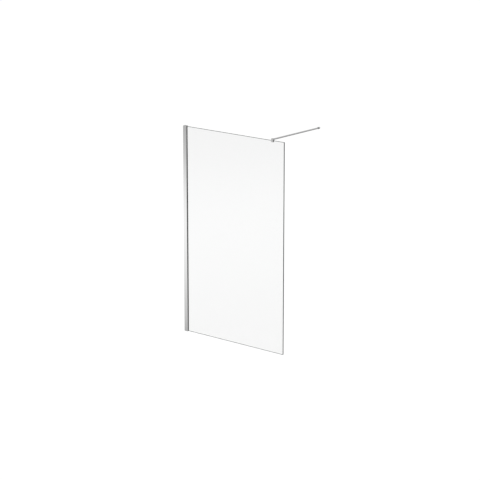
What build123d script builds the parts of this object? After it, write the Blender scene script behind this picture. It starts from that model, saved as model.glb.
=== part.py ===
"""Walk-in shower screen: one pane of glass in an adjustable wall profile, with a brace to the facing wall.

Millimetres. X runs from the wall along the glass, Y from the outside to the shower side, and Z up.
The origin is the lower end of the wall channel's back face, on the centre line of the glass.
"""
from build123d import *
import os

os.makedirs("parts", exist_ok=True)

# The screen as a whole
screen_width = 1200.0       # from the wall to the free edge of the glass
screen_height = 2000.0      # from the tray to the top edge of the glass
tray_gap = 4.0              # under the lower edge of the glass

# The pane
glass_thickness = 10.0
glass_corner_r = 3.0
glass_arris = 0.5           # ground off every long edge

# The glass profile, seen in plan
profile_width = 40.0        # from the wall to its mouth
profile_wall = 1.5
profile_corner_r = 1.0
wall_standoff = 0.5         # between its open back and the tiles
lip_wall = 1.5              # the walls beside the mouth
pocket_wall = 1.3
pocket_web = 1.5
glass_grip = 20.0           # how far the glass goes into the pocket
edge_block_thickness = 2.0  # between the edge of the glass and the pocket's web
gasket_thickness = 2.0      # between the glass and each pocket wall
bead_height = 0.5           # of the bead that holds each gasket
bead_width = 1.0
bead_inset = 2.5            # from the mouth to the middle of the bead

# The wall channel
channel_web = 2.0
channel_leg = 1.6
channel_play = 0.3          # between its legs and the glass profile
leg_room = 0.8              # between its legs and the pocket, for the tips of the lock screws
leg_end_gap = 1.3           # between its legs and the pegs of the caps
channel_top_gap = 2.0       # below the top cap
channel_edge = 0.4          # chamfer on the tips of the legs
drill_line = 0.4            # depth of the V that guides the drill
wall_hole_r = 3.0
wall_hole_inset = 100.0     # from each end of the screen to the end holes
adjustment = 15.0           # how far the glass profile slides out

# The lock screws
lock_count = 3
lock_r = 2.0
lock_head_r = 4.0
lock_head_height = 1.8
lock_tip = 0.5              # past the inner face of the channel's leg
lock_edge = 5.0             # from their axis to the tip of the leg
lock_end_inset = 150.0      # from each end of the screen to the end screws
slot_play = 0.3             # round the screws in their slots
head_fit = 0.05             # under the heads

# The cover strip and the ribs that hold it
cover_thickness = 1.0
cover_leg = 0.9
cover_over_head = 0.35
rib_width = 1.2
rib_clear = 1.2             # between the ribs and the screw heads over their travel
barb = 0.4
barb_play = 0.1

# The caps at the ends of the glass profile
cap_thickness = 1.5
foot_thickness = 3.0
cap_peg = 6.0               # size of the pegs along X
cap_peg_length = 12.0
cap_peg_play = 0.2
notch_play = 0.15           # round the glass in the top cap

# The gaskets
gasket_grip = 16.0          # how far they reach into the pocket
gasket_back = 1.2           # thickness behind the barbs
gasket_barbs = 3
gasket_nose = 1.0           # the part that shows at the mouth
gasket_lip = 1.0            # how far the nose laps over the mouth's wall

# The blocks between the edge of the glass and the pocket
edge_block_count = 3
edge_block_length = 60.0
edge_block_inset = 300.0    # from each end of the screen to the end blocks
edge_block_play = 0.3

# The brace bar
bar_r = 7.0
bar_wall = 1.5
bar_fit = 0.05              # round the bar in its clamp and socket
wall_distance = 690.0       # from the middle of the glass to the facing wall
clamp_from_free_edge = 135.0

# The glass clamp
clamp_width = 22.0          # along the glass
clamp_grip = 15.0           # below the top edge of the glass
clamp_front = 5.0           # wall in front of the glass
clamp_rear = 3.2            # wall behind the pressure plate
clamp_bridge = 1.45         # under the bar, and over it
clamp_bore_floor = 4.0      # wall in front of the end of the bar
clamp_round = 0.8
liner_side = 1.0            # the liner in front of the glass
liner_top = 1.5             # the liner on its top edge
pad_fit = 0.05              # between the soft pads and the glass
pad_thickness = 1.0
plate_thickness = 1.6
plate_gap = 0.2             # between the plate and the rear wall
pad_inset = 1.0             # of the pads and the plate from the sides and foot of the clamp
bar_end_gap = 0.2

# The grub screws of the clamp and the socket
clamp_screw_r = 2.5
clamp_screw_spacing = 10.0
clamp_screw_drop = 8.0      # below the top edge of the glass
clamp_screw_set_in = 0.5    # of their outer ends
bar_screw_r = 2.0
bar_screw_set_in = 0.4
bar_screw_from_rear = 9.0   # from the back of the clamp
key_depth = 1.6
key_share = 0.58            # across the hexagon's corners, as a share of the screw's diameter
tip_fit = 0.05              # between a tip and the bar

# The wall socket
socket_wall = 2.3           # round the bar
socket_length = 22.0
socket_base = 5.0
socket_chamfer = 0.6
socket_end_gap = 0.5        # between the end of the bar and the socket's floor
socket_gasket_thickness = 1.0
socket_gasket_inset = 0.4
socket_hole_r = 2.75
socket_sink = 2.5           # depth of the countersink
socket_gasket_hole_r = 3.5
socket_screw_r = 2.0
socket_screw_from_mouth = 4.5

# Plan of the wall profile, from the middle of the glass outwards
glass_half = glass_thickness / 2
pocket_half = glass_half + gasket_thickness
pocket_outer = pocket_half + pocket_wall
leg_inner = pocket_outer + leg_room
leg_outer = leg_inner + channel_leg
shell_inner = leg_outer + channel_play
shell_outer = shell_inner + profile_wall

# Plan of the wall profile, from the wall outwards
glass_edge = profile_width - glass_grip
pocket_floor = glass_edge - edge_block_thickness
pocket_back = pocket_floor - pocket_web
peg_high = profile_width - lip_wall - cap_peg_play
peg_low = peg_high - cap_peg
channel_depth = peg_low - leg_end_gap
lock_x = channel_depth - lock_edge

# Plan of the cover strip
cover_inner = shell_outer + head_fit + lock_head_height + cover_over_head
cover_outer = cover_inner + cover_thickness
rib_left = lock_x - adjustment - lock_head_r - rib_clear
rib_right = lock_x + lock_head_r + rib_clear
cover_middle = (rib_left + rib_right) / 2
rib_near = (rib_right - rib_left) / 2
rib_far = rib_near + rib_width
cover_half = rib_far + barb + barb_play + cover_leg

# Heights
profile_top = screen_height - cap_thickness
channel_top = profile_top - channel_top_gap
clamp_foot = screen_height - clamp_grip
bar_bore_r = bar_r + bar_fit
bar_z = screen_height + liner_top + clamp_bridge + bar_bore_r
clamp_top = bar_z + bar_bore_r + clamp_bridge

# The brace along X and Y
clamp_x = screen_width - clamp_from_free_edge
clamp_face = -(glass_half + pad_fit + liner_side)
clamp_front_y = clamp_face - clamp_front
plate_y = glass_half + pad_fit + pad_thickness
clamp_slot_y = plate_y + plate_thickness + plate_gap
clamp_rear_y = clamp_slot_y + clamp_rear
bar_start = clamp_front_y + clamp_bore_floor + bar_end_gap
socket_back = wall_distance - socket_gasket_thickness
socket_mouth = socket_back - socket_length
socket_floor = socket_back - socket_base
bar_end = socket_floor - socket_end_gap
socket_r = bar_bore_r + socket_wall


def rect(x_low, x_high, y_low, y_high):
    """A rectangle in plan, given by its four sides."""
    middle = Pos((x_low + x_high) / 2, (y_low + y_high) / 2)
    return middle * Rectangle(x_high - x_low, y_high - y_low)


def polygon(points):
    """A closed outline in plan."""
    return make_face(Polyline(*points, close=True))


def run_up(section, z_low, z_high):
    """A plan section run up from one height to another."""
    return Pos(0, 0, z_low) * extrude(section, z_high - z_low, dir=(0, 0, 1))


def block(x_low, x_high, y_low, y_high, z_low, z_high):
    """A plain block, given by its six sides."""
    return run_up(rect(x_low, x_high, y_low, y_high), z_low, z_high)


def other_side(shape):
    """The same shape on the other side of the glass."""
    return mirror(shape, about=Plane.XZ)


def rod_along_y(radius, x, y_low, y_high, z):
    """A round rod along Y."""
    rod = Cylinder(radius, y_high - y_low, rotation=(90, 0, 0))
    return Pos(x, (y_low + y_high) / 2, z) * rod


def spaced(count, inset):
    """Heights spread evenly between two ends that keep the same distance from the tray and the top."""
    step = (screen_height - 2 * inset) / (count - 1)
    return [inset + i * step for i in range(count)]


def glass_panel():
    """The pane, with two dubbed corners at its free edge and an arris all round."""
    pane = block(glass_edge, screen_width, -glass_half, glass_half, tray_gap, screen_height)
    free_corners = pane.edges().filter_by(Axis.Y).group_by(Axis.X)[-1]
    pane = fillet(free_corners, glass_corner_r)
    outer = pane.faces().sort_by(Axis.Y)
    return chamfer(outer[0].edges() + outer[-1].edges(), glass_arris)


def wall_profile():
    """The channel on the wall: a web and two legs, with a drill line and four screw holes."""
    section = rect(0, channel_depth, -leg_outer, leg_outer)
    section = chamfer(section.vertices().group_by(Axis.X)[-1], channel_edge)
    section -= rect(channel_web, channel_depth, -leg_inner, leg_inner)
    floor = channel_web
    section -= polygon([(floor, drill_line), (floor - drill_line, 0), (floor, -drill_line)])
    channel = run_up(section, 0, channel_top)
    for z in spaced(4, wall_hole_inset):
        hole = Cylinder(wall_hole_r, 4 * channel_web, rotation=(0, 90, 0))
        channel -= Pos(channel_web / 2, 0, z) * hole
    for z in spaced(lock_count, lock_end_inset):
        channel -= rod_along_y(lock_r, lock_x, leg_inner - channel_leg, shell_inner, z)
    return channel


def rib_section():
    """A rib that the cover strip snaps over, beside the middle of the strip, with its barb outwards."""
    top = cover_inner - barb / 2
    hook = (shell_outer + top) / 2 + barb
    return polygon(
        [
            (rib_near, shell_outer - profile_wall / 2),
            (rib_far, shell_outer - profile_wall / 2),
            (rib_far, hook - barb),
            (rib_far + barb, hook),
            (rib_far, top),
            (rib_near, top),
        ]
    )


def cover_strip():
    """The strip over the lock screws: a face and two legs whose barbs catch behind those of the ribs."""
    hook = (shell_outer + cover_inner - barb / 2) / 2 + barb
    catch = hook - barb - barb_play
    leg_inside = cover_half - cover_leg
    foot = shell_outer + barb_play
    half = polygon(
        [
            (0, cover_inner),
            (leg_inside, cover_inner),
            (leg_inside, catch + barb_play),
            (leg_inside - barb, catch + barb_play - barb),
            (leg_inside, foot),
            (cover_half, foot),
            (cover_half, cover_outer),
            (0, cover_outer),
        ]
    )
    section = Pos(cover_middle, 0) * (half + mirror(half, about=Plane.YZ))
    corners = section.vertices().group_by(Axis.Y)[-1]
    section = fillet(corners, cover_thickness / 2)
    return run_up(section, foot_thickness, profile_top)


def glass_profile():
    """The extrusion that holds the glass: a shell over the channel's legs, a pocket and the ribs for the cover."""
    section = rect(wall_standoff, profile_width, -shell_outer, shell_outer)
    section = fillet(section.vertices().group_by(Axis.X)[-1], profile_corner_r)
    section -= rect(wall_standoff, pocket_back, -shell_inner, shell_inner)
    cell = rect(pocket_back, profile_width - lip_wall, pocket_outer, shell_inner)
    section -= cell + other_side(cell)
    section -= rect(pocket_floor, profile_width, -pocket_half, pocket_half)
    bead_x = profile_width - bead_inset
    bead = polygon(
        [
            (bead_x - bead_width / 2, pocket_half + pocket_wall / 2),
            (bead_x - bead_width / 2, pocket_half),
            (bead_x, pocket_half - bead_height),
            (bead_x + bead_width / 2, pocket_half),
            (bead_x + bead_width / 2, pocket_half + pocket_wall / 2),
        ]
    )
    section += bead + other_side(bead)
    rib = rib_section()
    section += Pos(cover_middle, 0) * (rib + mirror(rib, about=Plane.YZ))
    profile = run_up(section, foot_thickness, profile_top)
    slot = extrude(SlotCenterToCenter(adjustment, 2 * (lock_r + slot_play)), profile_wall, both=True)
    slot = Rot(90, 0, 0) * slot
    for z in spaced(lock_count, lock_end_inset):
        profile -= Pos(lock_x - adjustment / 2, (shell_inner + shell_outer) / 2, z) * slot
    return profile


def lock_screws():
    """Flat-headed screws from the shower side, through the slots and into the channel's leg."""
    tip = leg_inner - lock_tip
    under_head = shell_outer + head_fit
    top = under_head + lock_head_height
    rim = under_head + lock_head_height / 2
    shank = [(0, top), (0, tip), (lock_r, tip), (lock_r, under_head)]
    side = Polyline(*shank, (lock_head_r, under_head), (lock_head_r, rim))
    crown = TangentArc((0, top), (lock_head_r, rim), tangent=(1, 0))
    half = make_face(side + crown)
    screw = revolve(half, Axis.Y)
    return Compound([Pos(lock_x, 0, z) * screw for z in spaced(lock_count, lock_end_inset)])


def gasket():
    """A wedge gasket on the shower side of the glass, with barbs against the pocket and a nose at the mouth."""
    start = profile_width - gasket_grip
    bead_x = profile_width - bead_inset
    throat = bead_x - bead_width / 2
    pitch = (throat - start) / gasket_barbs
    points = [(start, 0), (start, gasket_back)]
    for i in range(gasket_barbs):
        points.append((start + (i + 0.8) * pitch, gasket_thickness))
        points.append((start + (i + 0.8) * pitch, gasket_back))
    points += [
        (bead_x, gasket_back),
        (bead_x + bead_width / 2, gasket_thickness),
        (profile_width, gasket_thickness),
        (profile_width, gasket_thickness + gasket_lip),
        (profile_width + gasket_nose / 2, gasket_thickness + gasket_lip),
        (profile_width + gasket_nose, gasket_thickness),
        (profile_width + gasket_nose, 0),
    ]
    return run_up(polygon([(x, glass_half + y) for x, y in points]), tray_gap, profile_top)


def glass_edge_blocks():
    """Blocks that keep the edge of the glass off the pocket's web."""
    half = pocket_half - edge_block_play
    reach = edge_block_length / 2
    heights = spaced(edge_block_count, edge_block_inset)
    return Compound([block(pocket_floor, glass_edge, -half, half, z - reach, z + reach) for z in heights])


def cap_outline():
    """The outline of the glass profile with its cover strip, for the caps at both ends."""
    outline = rect(wall_standoff, profile_width, -shell_outer, shell_outer)
    outline = fillet(outline.vertices().group_by(Axis.X)[-1], profile_corner_r)
    return outline + rect(cover_middle - cover_half, cover_middle + cover_half, shell_inner, cover_outer)


def cap_pegs(z_low, z_high):
    """The two pegs that hold a cap in the cells beside the pocket."""
    peg = block(peg_low, peg_high, pocket_outer + cap_peg_play, shell_inner - cap_peg_play, z_low, z_high)
    return peg + other_side(peg)


def top_cap():
    """The cap at the top, notched for the glass."""
    slot_half = glass_half + notch_play
    outline = cap_outline() - rect(glass_edge - notch_play, profile_width, -slot_half, slot_half)
    plate = run_up(outline, profile_top, screen_height)
    return plate + cap_pegs(profile_top - cap_peg_length, profile_top)


def bottom_foot():
    """The foot on the tray, forked round the channel's legs, with a seat under the glass."""
    outline = cap_outline()
    slot_end = channel_depth + channel_play
    leg_slot = rect(wall_standoff, slot_end, leg_inner - channel_play, shell_inner)
    outline -= leg_slot + other_side(leg_slot)
    outline -= rect(wall_standoff, channel_web + wall_standoff, -shell_inner, shell_inner)
    foot = run_up(outline, 0, foot_thickness)
    seat_half = pocket_half - bead_height - edge_block_play
    foot += block(glass_edge, profile_width, -seat_half, seat_half, foot_thickness, tray_gap)
    return foot + cap_pegs(foot_thickness, foot_thickness + cap_peg_length)


def grub_screw(radius, length):
    """A grub screw along +Z with a hexagon socket in its upper end."""
    screw = Pos(0, 0, length / 2) * Cylinder(radius, length)
    key = extrude(RegularPolygon(radius * key_share, 6), key_depth)
    return screw - Pos(0, 0, length - key_depth) * key


def clamp_screw_places():
    """X of the two screws in the shower side of the clamp."""
    return [clamp_x - clamp_screw_spacing / 2, clamp_x + clamp_screw_spacing / 2]


def clamp_body():
    """The block on the top edge of the glass, with a slot for the glass and a blind bore for the bar."""
    half = clamp_width / 2
    body = block(clamp_x - half, clamp_x + half, clamp_front_y, clamp_rear_y, clamp_foot, clamp_top)
    body = fillet(body.edges(), clamp_round)
    slot_top = screen_height + liner_top
    body -= block(clamp_x - half, clamp_x + half, clamp_face, clamp_slot_y, clamp_foot, slot_top)
    body -= rod_along_y(bar_bore_r, clamp_x, bar_start - bar_end_gap, clamp_rear_y, bar_z)
    screw_z = screen_height - clamp_screw_drop
    for x in clamp_screw_places():
        body -= rod_along_y(clamp_screw_r, x, clamp_slot_y, clamp_rear_y, screw_z)
    side_hole = Cylinder(bar_screw_r, half, rotation=(0, 90, 0))
    body -= Pos(clamp_x - half, clamp_rear_y - bar_screw_from_rear, bar_z) * side_hole
    return body


def clamp_liner():
    """The liner in front of the glass and over its top edge."""
    half = clamp_width / 2 - pad_inset
    foot = clamp_foot + pad_inset
    slot_top = screen_height + liner_top
    front = block(clamp_x - half, clamp_x + half, clamp_face, clamp_face + liner_side, foot, slot_top)
    top = block(clamp_x - half, clamp_x + half, clamp_face, plate_y, screen_height + pad_fit, slot_top)
    return front + top


def pressure_pad():
    """The pad between the pressure plate and the glass."""
    half = clamp_width / 2 - pad_inset
    foot = clamp_foot + pad_inset
    return block(clamp_x - half, clamp_x + half, glass_half + pad_fit, plate_y, foot, screen_height)


def pressure_plate():
    """The steel plate that the clamp's screws press on."""
    half = clamp_width / 2 - pad_inset
    foot = clamp_foot + pad_inset
    return block(clamp_x - half, clamp_x + half, plate_y, plate_y + plate_thickness, foot, screen_height)


def clamp_screws():
    """The grub screws from the shower side onto the pressure plate."""
    start = plate_y + plate_thickness
    screw = grub_screw(clamp_screw_r, clamp_rear_y - clamp_screw_set_in - start)
    screw = Rot(-90, 0, 0) * screw
    z = screen_height - clamp_screw_drop
    return Compound([Pos(x, start, z) * screw for x in clamp_screw_places()])


def bar_screw():
    """The grub screw in the side of the clamp that holds the bar."""
    outer = clamp_x - clamp_width / 2 + bar_screw_set_in
    tip = clamp_x - bar_r - tip_fit
    screw = Rot(0, -90, 0) * grub_screw(bar_screw_r, tip - outer)
    return Pos(tip, clamp_rear_y - bar_screw_from_rear, bar_z) * screw


def brace_bar():
    """The bar, a tube from the clamp's bore to the wall socket."""
    outside = rod_along_y(bar_r, clamp_x, bar_start, bar_end, bar_z)
    return outside - rod_along_y(bar_r - bar_wall, clamp_x, bar_start, bar_end, bar_z)


def bar_socket():
    """The wall socket: a turned cup with a countersunk screw hole in its floor."""
    half = polygon(
        [
            (bar_bore_r, socket_mouth),
            (socket_r - socket_chamfer, socket_mouth),
            (socket_r, socket_mouth + socket_chamfer),
            (socket_r, socket_back),
            (socket_hole_r, socket_back),
            (socket_hole_r, socket_floor + socket_sink),
            (socket_hole_r + socket_sink, socket_floor),
            (bar_bore_r, socket_floor),
        ]
    )
    cup = Pos(clamp_x, 0, bar_z) * revolve(half, Axis.Y)
    hole = Pos(clamp_x, socket_mouth + socket_screw_from_mouth, bar_z - socket_r)
    return cup - hole * Cylinder(socket_screw_r, socket_r)


def socket_screw():
    """The grub screw underneath the wall socket, against the bar."""
    tip = bar_z - bar_r - tip_fit
    foot = bar_z - socket_r
    screw = Rot(180, 0, 0) * grub_screw(socket_screw_r, tip - foot)
    return Pos(clamp_x, socket_mouth + socket_screw_from_mouth, tip) * screw


def socket_gasket():
    """The soft ring between the socket and the tiles."""
    radius = socket_r - socket_gasket_inset
    ring = rod_along_y(radius, clamp_x, socket_back, wall_distance, bar_z)
    return ring - rod_along_y(socket_gasket_hole_r, clamp_x, socket_back, wall_distance, bar_z)


nodes = {
    "wall_profile": wall_profile(),
    "lock_screws": lock_screws(),
    "glass_panel": glass_panel(),
    "glass_profile": glass_profile(),
    "front_gasket": other_side(gasket()),
    "rear_gasket": gasket(),
    "glass_edge_blocks": glass_edge_blocks(),
    "top_cap": top_cap(),
    "bottom_foot": bottom_foot(),
    "cover_strip": cover_strip(),
    "clamp_body": clamp_body(),
    "clamp_liner": clamp_liner(),
    "pressure_pad": pressure_pad(),
    "pressure_plate": pressure_plate(),
    "clamp_screws": clamp_screws(),
    "bar_screw": bar_screw(),
    "brace_bar": brace_bar(),
    "bar_socket": bar_socket(),
    "socket_screw": socket_screw(),
    "socket_gasket": socket_gasket(),
}

for name, shape in nodes.items():
    export_step(shape, f"parts/{name}.step")
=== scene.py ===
"""The walk-in shower screen, finished piece by piece in the order in which it goes together on the wall."""
import math

import bmesh
import bpy
from mathutils import Matrix, Vector


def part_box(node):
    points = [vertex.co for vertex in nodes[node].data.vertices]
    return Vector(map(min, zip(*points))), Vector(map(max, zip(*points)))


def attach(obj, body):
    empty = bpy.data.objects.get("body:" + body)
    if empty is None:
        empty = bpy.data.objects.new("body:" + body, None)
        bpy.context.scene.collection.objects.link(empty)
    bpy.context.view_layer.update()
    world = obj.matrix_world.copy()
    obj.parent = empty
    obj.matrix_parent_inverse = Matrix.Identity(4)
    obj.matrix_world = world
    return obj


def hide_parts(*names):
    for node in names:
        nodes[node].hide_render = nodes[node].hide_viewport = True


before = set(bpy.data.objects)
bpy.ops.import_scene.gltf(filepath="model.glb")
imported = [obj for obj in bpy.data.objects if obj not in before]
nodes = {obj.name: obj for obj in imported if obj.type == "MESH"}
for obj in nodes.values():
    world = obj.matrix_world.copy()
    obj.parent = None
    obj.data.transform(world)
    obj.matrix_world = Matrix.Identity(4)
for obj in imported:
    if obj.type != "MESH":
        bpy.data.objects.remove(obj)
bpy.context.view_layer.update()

# The wall channel
# A plain U of extruded aluminium on the tiles, held by four screws on its drill line.
# It is left as it comes from the press, dull, with the fine lines of the die along its length.


def add(tree, kind, **values):
    """A shader or geometry node, with values for its inputs by name and for its own settings."""
    made = tree.nodes.new(kind)
    for name, value in values.items():
        if name in made.bl_rna.properties:
            setattr(made, name, value)
        else:
            made.inputs[name.replace("_", " ")].default_value = value
    return made


def sockets(group, inputs, outputs):
    """The named inputs of a node group, with their starting values, and its named outputs."""
    for name, kind, value in inputs:
        made = group.interface.new_socket(name, in_out="INPUT", socket_type=kind)
        if value is not None:
            made.default_value = value
    for name, kind in outputs:
        group.interface.new_socket(name, in_out="OUTPUT", socket_type=kind)
    return group.nodes.new("NodeGroupInput"), group.nodes.new("NodeGroupOutput")


def die_lines():
    """Lines that run the length of an extrusion: fine ones, and wide faint bands where the metal cooled."""
    group = bpy.data.node_groups.new("die lines", "ShaderNodeTree")
    across = ("Lines per metre", "NodeSocketFloat", 900.0)
    along = ("Breaks per metre", "NodeSocketFloat", 0.6)
    shows = [("Lines", "NodeSocketFloat"), ("Bands", "NodeSocketFloat")]
    given, shown = sockets(group, [across, along], shows)
    link = group.links.new
    place = add(group, "ShaderNodeTexCoord")
    scale = add(group, "ShaderNodeCombineXYZ")
    for axis, name in zip("XYZ", (across[0], across[0], along[0])):
        link(given.outputs[name], scale.inputs[axis])
    stretched = add(group, "ShaderNodeVectorMath", operation="MULTIPLY")
    link(place.outputs["Object"], stretched.inputs[0])
    link(scale.outputs[0], stretched.inputs[1])
    fine = add(group, "ShaderNodeTexNoise", Scale=1.0, Detail=2.0, Roughness=0.6)
    wide = add(group, "ShaderNodeTexNoise", Scale=0.12, Detail=1.0)
    for noise, name in ((fine, "Lines"), (wide, "Bands")):
        link(stretched.outputs[0], noise.inputs["Vector"])
        link(noise.outputs["Fac"], shown.inputs[name])
    return group


def shader_of(name, **values):
    """A new material with one Principled shader, and the plain values that are the same all over it."""
    material = bpy.data.materials.new(name)
    material.use_nodes = True
    shader = material.node_tree.nodes["Principled BSDF"]
    for socket, value in values.items():
        shader.inputs[socket.replace("_", " ")].default_value = value
    return material, material.node_tree, shader


def mixed_colours(tree, share, low, high):
    """One colour where the share is 0 and another where it is 1. Each is a colour or a node's socket."""
    mix = add(tree, "ShaderNodeMix", data_type="RGBA")
    first_colour, second_colour = mix.inputs[6], mix.inputs[7]
    tree.links.new(share, mix.inputs["Factor"])
    for colour, socket in ((low, first_colour), (high, second_colour)):
        if isinstance(colour, tuple):
            socket.default_value = (*colour, 1)
        else:
            tree.links.new(colour, socket)
    return mix.outputs[2]


def ranged(tree, source, low, high, target):
    """A mask spread between two values, or two colours, and fed to a socket."""
    if isinstance(low, tuple):
        tree.links.new(mixed_colours(tree, source, low, high), target)
        return
    spread = add(tree, "ShaderNodeMapRange", To_Min=low, To_Max=high)
    tree.links.new(source, spread.inputs["Value"])
    tree.links.new(spread.outputs[0], target)


def raised(tree, source, depth, shader):
    """A bump of a given depth in metres, from a height between 0 and 1."""
    bump = add(tree, "ShaderNodeBump", Strength=1.0, Distance=depth)
    tree.links.new(source, bump.inputs["Height"])
    tree.links.new(bump.outputs["Normal"], shader.inputs["Normal"])


extrusion = die_lines()


def extruded_metal(name, colour, darker, smooth, rough, line_depth):
    """Extruded aluminium: the lines change its colour, its gloss and its height."""
    material, tree, shader = shader_of(name, Metallic=1.0)
    lines = add(tree, "ShaderNodeGroup", node_tree=extrusion)
    ranged(tree, lines.outputs["Bands"], darker, colour, shader.inputs["Base Color"])
    ranged(tree, lines.outputs["Lines"], smooth, rough, shader.inputs["Roughness"])
    raised(tree, lines.outputs["Lines"], line_depth, shader)
    return material


def finish(node, material):
    """The finish of a piece that keeps its CAD shape."""
    slots = nodes[node].data.materials
    slots.clear()
    slots.append(material)


mill_finish = extruded_metal(
    "mill finish",
    colour=(0.80, 0.80, 0.80),
    darker=(0.66, 0.66, 0.66),
    smooth=0.30,
    rough=0.44,
    line_depth=3e-6,
)
finish("wall_profile", mill_finish)

# The lock screws
# Three flat-headed stainless screws from the shower side, through the slots of the glass profile
# into the leg of the channel. Each has a crowned head, turned from bar, and a pressed cross recess.


def turned(rings):
    """A closed solid along Z. Each ring is a height and a radius, which may be a function of the angle."""
    segments = 48
    sharp_from = math.radians(28)
    shell = bmesh.new()
    angles = [math.tau * i / segments for i in range(segments)]
    loops = []
    for height, radius in rings:
        reach = radius if callable(radius) else lambda angle, same=radius: same
        places = [(reach(a) * math.cos(a), reach(a) * math.sin(a), height) for a in angles]
        loops.append([shell.verts.new(place) for place in places])
    for lower, upper in zip(loops, loops[1:]):
        for i in range(segments):
            j = (i + 1) % segments
            shell.faces.new((lower[i], lower[j], upper[j], upper[i]))
    shell.faces.new(reversed(loops[0]))
    shell.faces.new(loops[-1])
    bmesh.ops.recalc_face_normals(shell, faces=shell.faces)
    mesh = bpy.data.meshes.new("turned")
    shell.to_mesh(mesh)
    shell.free()
    mesh.shade_smooth()
    mesh.set_sharp_from_angle(angle=sharp_from)
    return mesh


def thread(root, crest, pitch, start, end):
    """The rings of a thread: the radius at each angle follows a V that climbs one pitch a turn."""
    steps_per_pitch = 6
    count = round((end - start) / pitch * steps_per_pitch)
    rings = []
    for i in range(count + 1):
        height = start + (end - start) * i / count

        def radius(angle, height=height):
            share = (height / pitch - angle / math.tau) % 1
            return root + (crest - root) * (1 - abs(2 * share - 1))

        rings.append((height, radius))
    return rings


def cross(arm_length, arm_half_width):
    """The outline of a cross recess, as a radius for each angle."""
    along_arm = 1e-6

    def radius(angle):
        from_arm = (angle + math.pi / 4) % (math.pi / 2) - math.pi / 4
        side = abs(math.sin(from_arm))
        return min(arm_length, arm_half_width / side) if side > along_arm else arm_length

    return radius


def stainless_steel():
    """Turned stainless steel, with the cutter's faint rings and a few duller patches."""
    material, tree, shader = shader_of("turned stainless", Metallic=1.0)
    place = add(tree, "ShaderNodeTexCoord")
    patches = add(tree, "ShaderNodeTexNoise", Scale=700.0, Detail=3.0)
    rings = add(tree, "ShaderNodeTexNoise", Scale=2600.0, Detail=1.0)
    for noise in (patches, rings):
        tree.links.new(place.outputs["Object"], noise.inputs["Vector"])
    ranged(tree, patches.outputs["Fac"], (0.58, 0.58, 0.59), (0.74, 0.74, 0.75), shader.inputs["Base Color"])
    ranged(tree, rings.outputs["Fac"], 0.22, 0.38, shader.inputs["Roughness"])
    raised(tree, rings.outputs["Fac"], 4e-6, shader)
    return material


def row_tree():
    """Copies a shape along a line, with its ends given, and gives the copies their material."""
    tree = bpy.data.node_groups.new("row of pieces", "GeometryNodeTree")
    wanted = [
        ("Geometry", "NodeSocketGeometry", None),
        ("Count", "NodeSocketInt", 2),
        ("First place", "NodeSocketVector", None),
        ("Last place", "NodeSocketVector", None),
        ("Finish", "NodeSocketMaterial", None),
    ]
    given, shown = sockets(tree, wanted, [("Geometry", "NodeSocketGeometry")])
    link = tree.links.new
    line = add(tree, "GeometryNodeMeshLine", mode="END_POINTS", count_mode="TOTAL")
    link(given.outputs["Count"], line.inputs["Count"])
    link(given.outputs["First place"], line.inputs["Start Location"])
    link(given.outputs["Last place"], line.inputs["Offset"])
    copies = add(tree, "GeometryNodeInstanceOnPoints")
    link(line.outputs["Mesh"], copies.inputs["Points"])
    link(given.outputs["Geometry"], copies.inputs["Instance"])
    real = add(tree, "GeometryNodeRealizeInstances")
    link(copies.outputs["Instances"], real.inputs["Geometry"])
    coated = add(tree, "GeometryNodeSetMaterial")
    link(real.outputs["Geometry"], coated.inputs["Geometry"])
    link(given.outputs["Finish"], coated.inputs["Material"])
    link(coated.outputs["Geometry"], shown.inputs["Geometry"])
    return tree


row = row_tree()


def in_a_row(name, mesh, count, first, last, material):
    """A piece of like shapes in a row, as one plain mesh."""
    worker = bpy.data.objects.new(name + "_worker", mesh)
    bpy.context.scene.collection.objects.link(worker)
    modifier = worker.modifiers.new("row", "NODES")
    modifier.node_group = row
    values = {"Count": count, "First place": first, "Last place": last, "Finish": material}
    for item in row.interface.items_tree:
        if item.in_out == "INPUT" and item.name in values:
            modifier[item.identifier] = values[item.name]
    ready = worker.evaluated_get(bpy.context.evaluated_depsgraph_get())
    result = bpy.data.meshes.new_from_object(ready)
    worker.modifiers.remove(modifier)
    bpy.data.objects.remove(worker)
    return placed(name, result)


def placed(name, mesh):
    """A new object in the scene for a mesh that is already in its place."""
    piece = bpy.data.objects.new(name, mesh)
    bpy.context.scene.collection.objects.link(piece)
    return piece


def stands_for(piece, node, body):
    """The piece rides on its body and takes the CAD node's place."""
    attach(piece, body)
    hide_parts(node)


def crowned_screw(length, head_r):
    """A screw along Z from the origin: a threaded shank, and a crowned head with a cross recess."""
    head = 0.0018
    shank_r = 0.002
    root_r = shank_r * 0.82
    pitch = 0.0007
    point = 0.0003
    rim = 0.0001
    seat = length - head
    shank = [
        (0.0, shank_r * 0.5),
        (point, shank_r * 0.8),
        *thread(root_r, shank_r, pitch, point + rim, seat - point),
        (seat, root_r),
    ]
    edge_of_head = [(seat, head_r - rim), (seat + rim, head_r), (length - head / 2, head_r)]
    crown_shares = [(0.34, 0.93), (0.13, 0.76), (0.04, 0.62)]
    crown = [(length - head * depth, head_r * radius) for depth, radius in crown_shares]
    recess_mouth = (length - head * 0.02, cross(head_r * 0.52, head_r * 0.13))
    recess_floor = (length - head * 0.95, cross(head_r * 0.26, head_r * 0.07))
    recess_tip = (length - head * 1.05, head_r * 0.03)
    return turned([*shank, *edge_of_head, *crown, recess_mouth, recess_floor, recess_tip])


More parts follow.
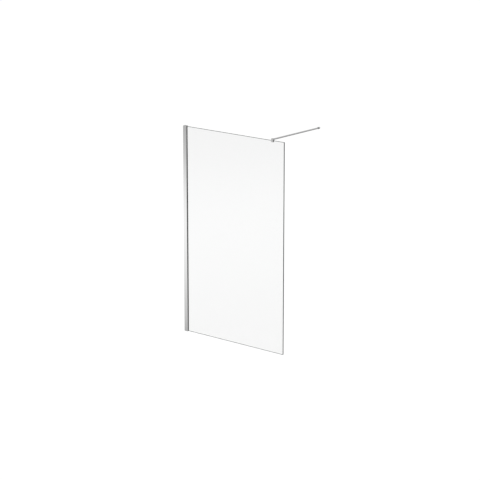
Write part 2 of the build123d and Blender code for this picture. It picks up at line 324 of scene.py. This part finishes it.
upright_to_y = Matrix.Rotation(-math.pi / 2, 4, "X")
stainless = stainless_steel()
screw_low, screw_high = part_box("lock_screws")
lock_head_r = (screw_high.x - screw_low.x) / 2
lock_mesh = crowned_screw(screw_high.y - screw_low.y, lock_head_r)
lock_mesh.transform(upright_to_y)
lock_x = (screw_low.x + screw_high.x) / 2
lock_count = 3
lock_row = in_a_row(
    "lock_screws_turned",
    lock_mesh,
    lock_count,
    (lock_x, screw_low.y, screw_low.z + lock_head_r),
    (lock_x, screw_low.y, screw_high.z - lock_head_r),
    stainless,
)
stands_for(lock_row, "lock_screws", "wall_channel")

# The glass profile and its cover strip
# An extrusion that slides on the channel, takes the glass in its pocket and carries the ribs for the cover.
# Both are polished and then bright anodised, so they look like chrome with a trace of the die's lines.

bright_finish = extruded_metal(
    "bright anodised",
    colour=(0.91, 0.91, 0.91),
    darker=(0.87, 0.87, 0.87),
    smooth=0.10,
    rough=0.16,
    line_depth=4e-7,
)
finish("glass_profile", bright_finish)
finish("cover_strip", bright_finish)

# The blocks in the pocket
# Three short strips of hard white PVC, sawn to length, that keep the edge of the glass off the metal.
# They are pushed into the pocket before the glass.


def moulding():
    """The skin of a moulded plastic: fine spark texture, and slow clouds where the melt flowed."""
    group = bpy.data.node_groups.new("moulded skin", "ShaderNodeTree")
    grain = ("Grains per metre", "NodeSocketFloat", 3000.0)
    clouds = ("Clouds per metre", "NodeSocketFloat", 40.0)
    shows = [("Grain", "NodeSocketFloat"), ("Clouds", "NodeSocketFloat")]
    given, shown = sockets(group, [grain, clouds], shows)
    place = add(group, "ShaderNodeTexCoord")
    for name, output in ((grain[0], "Grain"), (clouds[0], "Clouds")):
        noise = add(group, "ShaderNodeTexNoise", Detail=2.0)
        group.links.new(place.outputs["Object"], noise.inputs["Vector"])
        group.links.new(given.outputs[name], noise.inputs["Scale"])
        group.links.new(noise.outputs["Fac"], shown.inputs[output])
    return group


skin = moulding()


def moulded(name, colour, darker, smooth, rough, grain_depth, **values):
    """A moulded plastic or rubber."""
    material, tree, shader = shader_of(name, **values)
    surface = add(tree, "ShaderNodeGroup", node_tree=skin)
    ranged(tree, surface.outputs["Clouds"], darker, colour, shader.inputs["Base Color"])
    ranged(tree, surface.outputs["Grain"], smooth, rough, shader.inputs["Roughness"])
    raised(tree, surface.outputs["Grain"], grain_depth, shader)
    return material


white_plastic = moulded(
    "white PVC",
    colour=(0.84, 0.84, 0.82),
    darker=(0.76, 0.76, 0.74),
    smooth=0.45,
    rough=0.6,
    grain_depth=1e-5,
)
finish("glass_edge_blocks", white_plastic)

# The pane
# Clear toughened float glass, 10 mm thick. Its faces are untouched, its long edges are ground and polished,
# and the arris between them keeps the dull look of the stone.


def from_outline(tree, low, high):
    """How far a point of the pane is from its outline, and how far it is below its nearer face."""
    middle = (low + high) / 2
    half = (high - low) / 2
    place = add(tree, "ShaderNodeTexCoord")
    centred = add(tree, "ShaderNodeVectorMath", operation="SUBTRACT")
    folded = add(tree, "ShaderNodeVectorMath", operation="ABSOLUTE")
    depth = add(tree, "ShaderNodeVectorMath", operation="SUBTRACT")
    parts = add(tree, "ShaderNodeSeparateXYZ")
    nearest = add(tree, "ShaderNodeMath", operation="MINIMUM")
    centred.inputs[1].default_value = middle
    depth.inputs[0].default_value = half
    tree.links.new(place.outputs["Object"], centred.inputs[0])
    tree.links.new(centred.outputs[0], folded.inputs[0])
    tree.links.new(folded.outputs[0], depth.inputs[1])
    tree.links.new(depth.outputs[0], parts.inputs[0])
    tree.links.new(parts.outputs["X"], nearest.inputs[0])
    tree.links.new(parts.outputs["Z"], nearest.inputs[1])
    return nearest.outputs[0], parts.outputs["Y"]


def glass():
    """Clear glass. Its outline and the last bit of the faces beside it are painted nearly black, a painted
    shade for the dark look of the polished edge.
    """
    low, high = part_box("glass_panel")
    painted_shade_band = 0.0025
    painted_shade_full = 0.002
    arris_limit = 0.00003
    arris_dullness = 0.25
    # The edge colour is painted shade: nearly black on the outline and within 2.5 mm of it on the faces.
    face_colour = (0.930, 0.932, 0.931)
    painted_edge_shade_colour = (0.002, 0.005, 0.004)
    material, tree, shader = shader_of("clear glass", Transmission_Weight=1.0, IOR=1.5, Metallic=0.0)
    inwards, below_face = from_outline(tree, low, high)
    edge = add(tree, "ShaderNodeMapRange", From_Min=painted_shade_band, From_Max=painted_shade_full)
    tree.links.new(inwards, edge.inputs["Value"])
    both = add(tree, "ShaderNodeMath", operation="MINIMUM")
    tree.links.new(inwards, both.inputs[0])
    tree.links.new(below_face, both.inputs[1])
    arris = add(tree, "ShaderNodeMath", operation="GREATER_THAN")
    arris.inputs[1].default_value = arris_limit
    tree.links.new(both.outputs[0], arris.inputs[0])
    ranged(tree, edge.outputs[0], face_colour, painted_edge_shade_colour, shader.inputs["Base Color"])
    ranged(tree, arris.outputs[0], 0.0, arris_dullness, shader.inputs["Roughness"])
    return material


finish("glass_panel", glass())
# Clear glass takes little from the light behind it, so the pane itself casts no shadow.
nodes["glass_panel"].visible_shadow = False

# The gaskets
# Two lengths of extruded rubber, pressed in on both sides of the glass until their barbs catch the bead.
# Only their narrow noses show at the mouth of the pocket.

rubber = moulded(
    "grey rubber",
    colour=(0.13, 0.13, 0.13),
    darker=(0.09, 0.09, 0.09),
    smooth=0.5,
    rough=0.68,
    grain_depth=8e-6,
)
finish("front_gasket", rubber)
finish("rear_gasket", rubber)

# The caps
# A moulded cap closes the profile at the top, notched for the glass, and a foot stands it off the tray.
# Both are nylon, coloured through in silver grey, with pegs that push into the cells of the profile.

nylon = moulded(
    "silver grey nylon",
    colour=(0.38, 0.38, 0.38),
    darker=(0.33, 0.33, 0.33),
    smooth=0.28,
    rough=0.4,
    grain_depth=4e-6,
)
finish("top_cap", nylon)
finish("bottom_foot", nylon)


def standing_cap():
    """The top cap with its upper face raised, because in the photo it stands above the glass."""
    above_glass = 0.004
    level_with_face = 0.0004
    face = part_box("top_cap")[1].z
    mesh = nodes["top_cap"].data.copy()
    for vertex in mesh.vertices:
        if vertex.co.z > face - level_with_face:
            vertex.co.z += above_glass
    return mesh


stands_for(placed("top_cap_standing", standing_cap()), "top_cap", "screen")

# The glass clamp
# A machined brass block, chromed, that sits on the top edge of the glass and takes the end of the bar.
# Its edges are rounded over before plating, and polishing leaves a faint haze under the chrome.


def polish_haze():
    """What a polishing wheel leaves: soft clouds and hair-fine scratches."""
    wheel_turn = (0.4, 0.7, 0.3)
    hair_stretch = (1.0, 0.06, 1.0)
    group = bpy.data.node_groups.new("polish haze", "ShaderNodeTree")
    clouds_wanted = ("Clouds per metre", "NodeSocketFloat", 90.0)
    hairs_wanted = ("Hairs per metre", "NodeSocketFloat", 2500.0)
    shows = [("Haze", "NodeSocketFloat"), ("Hairs", "NodeSocketFloat")]
    given, shown = sockets(group, [clouds_wanted, hairs_wanted], shows)
    link = group.links.new
    place = add(group, "ShaderNodeTexCoord")
    clouds = add(group, "ShaderNodeTexNoise", Detail=3.0)
    turn = add(group, "ShaderNodeMapping", Rotation=wheel_turn, Scale=hair_stretch)
    hairs = add(group, "ShaderNodeTexNoise", Detail=1.0)
    link(place.outputs["Object"], clouds.inputs["Vector"])
    link(place.outputs["Object"], turn.inputs["Vector"])
    link(turn.outputs["Vector"], hairs.inputs["Vector"])
    link(given.outputs["Clouds per metre"], clouds.inputs["Scale"])
    link(given.outputs["Hairs per metre"], hairs.inputs["Scale"])
    link(clouds.outputs["Fac"], shown.inputs["Haze"])
    link(hairs.outputs["Fac"], shown.inputs["Hairs"])
    return group


haze = polish_haze()


def chrome_plate(name):
    """Polished chrome."""
    material, tree, shader = shader_of(name, Metallic=1.0)
    surface = add(tree, "ShaderNodeGroup", node_tree=haze)
    darker, lighter = (0.91, 0.91, 0.91), (0.95, 0.95, 0.95)
    ranged(tree, surface.outputs["Haze"], darker, lighter, shader.inputs["Base Color"])
    ranged(tree, surface.outputs["Haze"], 0.04, 0.10, shader.inputs["Roughness"])
    raised(tree, surface.outputs["Hairs"], 2e-7, shader)
    return material


chrome = chrome_plate("chrome")
finish("clamp_body", chrome)

# The soft parts and the plate inside the clamp
# A clear liner in front of the glass and over its edge, a clear pad behind it, and the steel plate
# that the clamp's screws press on, so that only soft plastic touches the glass.

soft_clear = moulded(
    "clear soft plastic",
    colour=(0.86, 0.87, 0.87),
    darker=(0.80, 0.81, 0.81),
    smooth=0.12,
    rough=0.25,
    grain_depth=3e-6,
    Transmission_Weight=0.85,
    IOR=1.5,
)
finish("clamp_liner", soft_clear)
finish("pressure_pad", soft_clear)
finish("pressure_plate", stainless)

# The grub screws
# Stainless grub screws with a hexagon socket and a cup point: two in the back of the clamp onto the plate,
# one in its side and one under the wall socket, which hold the bar.


def hexagon(across_corners):
    """The outline of a hexagon socket, as a radius for each angle."""
    flat = across_corners / 2 * math.cos(math.pi / 6)

    def radius(angle):
        return flat / math.cos(angle % (math.pi / 3) - math.pi / 6)

    return radius


def grub_screw(radius, length, pitch):
    """A grub screw along Z, with its cup point at the origin."""
    key = hexagon(radius * 1.16)
    key_mouth = hexagon(radius * 1.26)
    key_floor = length - min(0.0016, length * 0.6)
    chamfer = radius * 0.16
    root = radius * 0.84
    runout = chamfer * 1.2
    cup = [(chamfer, radius * 0.12), (0.0, radius * 0.5), (chamfer, root)]
    crest = thread(root, radius, pitch, runout, length - runout)
    end = [(length - chamfer, root), (length, root - chamfer)]
    socket = [(length, key_mouth), (length - chamfer * 0.3, key), (key_floor, key)]
    socket_tip = (key_floor - chamfer * 0.5, radius * 0.1)
    return turned([*cup, *crest, *end, *socket, socket_tip])


plate_screw_low, plate_screw_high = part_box("clamp_screws")
plate_screw_r = (plate_screw_high.z - plate_screw_low.z) / 2
plate_screw_pitch = 0.0008
plate_screw_count = 2
plate_screw = grub_screw(plate_screw_r, plate_screw_high.y - plate_screw_low.y, plate_screw_pitch)
plate_screw.transform(upright_to_y)
plate_screws = in_a_row(
    "clamp_screws_threaded",
    plate_screw,
    plate_screw_count,
    (plate_screw_low.x + plate_screw_r, plate_screw_low.y, plate_screw_low.z + plate_screw_r),
    (plate_screw_high.x - plate_screw_r, plate_screw_low.y, plate_screw_low.z + plate_screw_r),
    stainless,
)
stands_for(plate_screws, "clamp_screws", "brace")


def single_grub(node, body, turn, reach):
    """The one grub screw that stands for a node, turned onto its axis with its point at the bar."""
    pitch = 0.0007
    low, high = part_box(node)
    middle = (low + high) / 2
    size = high - low
    radius = size.y / 2
    length = abs(size.dot(reach))
    mesh = grub_screw(radius, length, pitch)
    mesh.transform(turn)
    mesh.transform(Matrix.Translation(middle - reach * (length / 2)))
    mesh.materials.append(stainless)
    stands_for(placed(node + "_threaded", mesh), node, body)


single_grub("bar_screw", "brace", Matrix.Rotation(-math.pi / 2, 4, "Y"), Vector((-1, 0, 0)))
single_grub("socket_screw", "wall_socket", Matrix.Rotation(math.pi, 4, "X"), Vector((0, 0, -1)))

# The bar and the wall socket
# A drawn brass tube, 14 mm across, and a turned cup that is screwed to the facing wall, both chromed.
# The bar is pushed into the cup, and a soft ring seals the cup to the tiles. The cup's mouth has a ring of
# painted shade.


def chrome_with_painted_mouth_shade():
    """Chrome with a ring of painted shade round the mouth of the cup."""
    ring_depth = 0.00065
    blend = 0.000065
    # This dark colour is painted shade at the mouth of the cup, not a colour of the chrome.
    dark = (0.16, 0.16, 0.16)
    material = chrome_plate("socket chrome")
    tree = material.node_tree
    base_colour = tree.nodes["Principled BSDF"].inputs["Base Color"]
    polished = base_colour.links[0].from_socket
    place = add(tree, "ShaderNodeTexCoord")
    parts = add(tree, "ShaderNodeSeparateXYZ")
    tree.links.new(place.outputs["Object"], parts.inputs[0])
    ring_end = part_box("bar_socket")[0].y + ring_depth
    share = add(tree, "ShaderNodeMapRange", From_Min=ring_end, From_Max=ring_end + blend)
    tree.links.new(parts.outputs["Y"], share.inputs["Value"])
    tree.links.new(mixed_colours(tree, share.outputs[0], dark, polished), base_colour)
    return material


finish("brace_bar", chrome)
finish("bar_socket", chrome_with_painted_mouth_shade())
finish("socket_gasket", rubber)

# The floor
# A pale studio floor. It is white to the camera and through the glass, apart from a trace of shadow.
# Metal mirrors a painted pool of light in front of the screen, and painted shade behind it and to the right.


def light_path(tree):
    """1 where a ray has been mirrored on its way, and 1 where it comes straight or through glass."""
    less_than_once = 0.5
    path = add(tree, "ShaderNodeLightPath")
    mirrored = add(tree, "ShaderNodeMath", operation="GREATER_THAN")
    mirrored.inputs[1].default_value = less_than_once
    tree.links.new(path.outputs["Glossy Depth"], mirrored.inputs[0])
    straight = add(tree, "ShaderNodeMath", operation="MAXIMUM")
    tree.links.new(path.outputs["Is Camera Ray"], straight.inputs[0])
    tree.links.new(path.outputs["Is Transmission Ray"], straight.inputs[1])
    return mirrored.outputs[0], straight.outputs[0]


def round_patch(tree, middle, steps):
    """A brightness that depends on the distance from a point of the floor, given in steps."""
    reach = steps[-1][0]
    place = add(tree, "ShaderNodeNewGeometry")
    away = add(tree, "ShaderNodeVectorMath", operation="DISTANCE")
    away.inputs[1].default_value = middle
    tree.links.new(place.outputs["Position"], away.inputs[0])
    share = add(tree, "ShaderNodeMath", operation="DIVIDE")
    share.inputs[1].default_value = reach
    tree.links.new(away.outputs["Value"], share.inputs[0])
    ramp = add(tree, "ShaderNodeValToRGB")
    stops = ramp.color_ramp.elements
    for distance, _ in steps[1:-1]:
        stops.new(distance / reach)
    for element, (distance, level) in zip(stops, steps):
        element.position = distance / reach
        element.color = (level, level, level, 1)
    tree.links.new(share.outputs[0], ramp.inputs["Fac"])
    return ramp.outputs["Color"]


def mirrored_floor(tree):
    """The floor as metal mirrors it: a painted pool of light, painted shade behind the screen's foot, a
    painted dark corner.
    """
    # These patches are painted light and shade. The floor glows with them only for mirrored rays.
    pool_middle = (-2.85, -3.22, 0.0)
    pool_steps = [
        (0.0, 1.0), (0.7, 0.98), (1.5, 0.91), (2.3, 0.83), (2.9, 0.74), (3.4, 0.66),
        (4.0, 0.60), (4.4, 0.56), (5.0, 0.53), (5.8, 0.46), (8.0, 0.44), (12.0, 0.42),
    ]
    shade_middle = (1.3, 1.42, 0.0)
    shade_steps = [(0.0, 0.5), (1.2, 0.56), (1.9, 0.86), (2.4, 1.0)]
    shaded_corner_middle = (4.2, 4.73, 0.0)
    shaded_corner_steps = [(0.0, 0.16), (0.9, 0.32), (2.0, 0.50), (2.9, 0.65), (3.7, 0.78), (4.4, 0.92), (5.2, 1.0)]
    level = round_patch(tree, pool_middle, pool_steps)
    for middle, steps in ((shade_middle, shade_steps), (shaded_corner_middle, shaded_corner_steps)):
        both = add(tree, "ShaderNodeVectorMath", operation="MULTIPLY")
        tree.links.new(level, both.inputs[0])
        tree.links.new(round_patch(tree, middle, steps), both.inputs[1])
        level = both.outputs[0]
    return level


def floor_finish():
    """The floor as the camera, metal and matt surfaces see it."""
    shadow_share = 0.05
    white = 1.055
    paint = (0.82, 0.82, 0.82, 1)
    material = bpy.data.materials.new("studio floor")
    material.use_nodes = True
    tree = material.node_tree
    tree.nodes.clear()
    link = tree.links.new
    mirrored, straight = light_path(tree)
    matt = add(tree, "ShaderNodeBsdfDiffuse", Color=paint)
    bright = add(tree, "ShaderNodeEmission", Strength=white)
    seen = add(tree, "ShaderNodeMixShader")
    share = add(tree, "ShaderNodeMath", operation="MULTIPLY")
    share.inputs[1].default_value = 1 - shadow_share
    link(straight, share.inputs[0])
    link(share.outputs[0], seen.inputs["Fac"])
    link(matt.outputs[0], seen.inputs[1])
    link(bright.outputs[0], seen.inputs[2])
    # The painted pool of light and the painted shade glow here for mirrored rays.
    pool = add(tree, "ShaderNodeEmission")
    link(mirrored_floor(tree), pool.inputs["Color"])
    choice = add(tree, "ShaderNodeMixShader")
    link(mirrored, choice.inputs["Fac"])
    link(seen.outputs[0], choice.inputs[1])
    link(pool.outputs[0], choice.inputs[2])
    output = add(tree, "ShaderNodeOutputMaterial")
    link(choice.outputs[0], output.inputs["Surface"])
    material.cycles.emission_sampling = "NONE"
    return material


floor_reach = 45.0
floor_mesh = bpy.data.meshes.new("floor")
corners = [(x * floor_reach, y * floor_reach, 0.0) for x, y in ((-1, -1), (1, -1), (1, 1), (-1, 1))]
floor_mesh.from_pydata(corners, [], [(0, 1, 2, 3)])
floor_mesh.materials.append(floor_finish())
placed("floor", floor_mesh)

# The studio
# Plain soft light from three lamps and from the sky around. The sky is white to the camera and
# through the glass, and mid grey in metal, so that chrome has something to show.


def sky():
    """The sky as the camera, metal and matt surfaces see it. In metal it gets darker from low to high."""
    low_up, high_up = 0.3, 0.9
    metal_low, metal_high = 0.66, 0.5
    lighting, white = 0.62, 1.10
    world = bpy.data.worlds.new("studio")
    world.use_nodes = True
    tree = world.node_tree
    tree.nodes.clear()
    link = tree.links.new
    mirrored, straight = light_path(tree)
    place = add(tree, "ShaderNodeTexCoord")
    parts = add(tree, "ShaderNodeSeparateXYZ")
    link(place.outputs["Generated"], parts.inputs[0])
    height = add(
        tree, "ShaderNodeMapRange", From_Min=low_up, From_Max=high_up, To_Min=metal_low, To_Max=metal_high
    )
    link(parts.outputs["Z"], height.inputs["Value"])
    level = add(tree, "ShaderNodeMapRange", To_Min=lighting, To_Max=white)
    link(straight, level.inputs["Value"])
    strength = add(tree, "ShaderNodeMix", data_type="FLOAT")
    link(mirrored, strength.inputs[0])
    link(level.outputs[0], strength.inputs[2])
    link(height.outputs[0], strength.inputs[3])
    background = add(tree, "ShaderNodeBackground")
    link(strength.outputs[0], background.inputs["Strength"])
    output = add(tree, "ShaderNodeOutputWorld")
    link(background.outputs[0], output.inputs["Surface"])
    world.cycles.sampling_method = "NONE"
    bpy.context.scene.world = world


def soft_lamp(name, place, aim, size, power):
    """A square area lamp that looks at a point and isn't mirrored."""
    light = bpy.data.lights.new(name, "AREA")
    light.size = size
    light.energy = power
    lamp = bpy.data.objects.new(name, light)
    lamp.location = place
    lamp.rotation_euler = (Vector(aim) - Vector(place)).to_track_quat("-Z", "Y").to_euler()
    lamp.visible_glossy = False
    bpy.context.scene.collection.objects.link(lamp)


sky()
middle_of_screen = (0.6, 0.0, 1.0)
soft_lamp("lamp_left", place=(-3.2, -4.4, 4.6), aim=middle_of_screen, size=3.0, power=260)
soft_lamp("lamp_right", place=(4.6, -3.0, 4.2), aim=middle_of_screen, size=3.0, power=160)
soft_lamp("lamp_back", place=(1.2, 6.0, 3.2), aim=middle_of_screen, size=2.0, power=90)
bpy.context.scene.view_settings.view_transform = "Standard"

# The camera
# It stands where the photo was taken from, worked out from the corners of the pane.

camera_place = (11.5695, -13.0643, 5.4669)
camera_drop = math.radians(14.684)
camera_turn = math.radians(39.806)
camera_lens = 142.576
camera = bpy.data.objects.new("camera", bpy.data.cameras.new("camera"))
camera.data.lens = camera_lens
camera.data.clip_end = 200.0
camera.location = camera_place
camera.rotation_euler = (math.pi / 2 - camera_drop, 0.0, camera_turn)
bpy.context.scene.collection.objects.link(camera)
bpy.context.scene.camera = camera
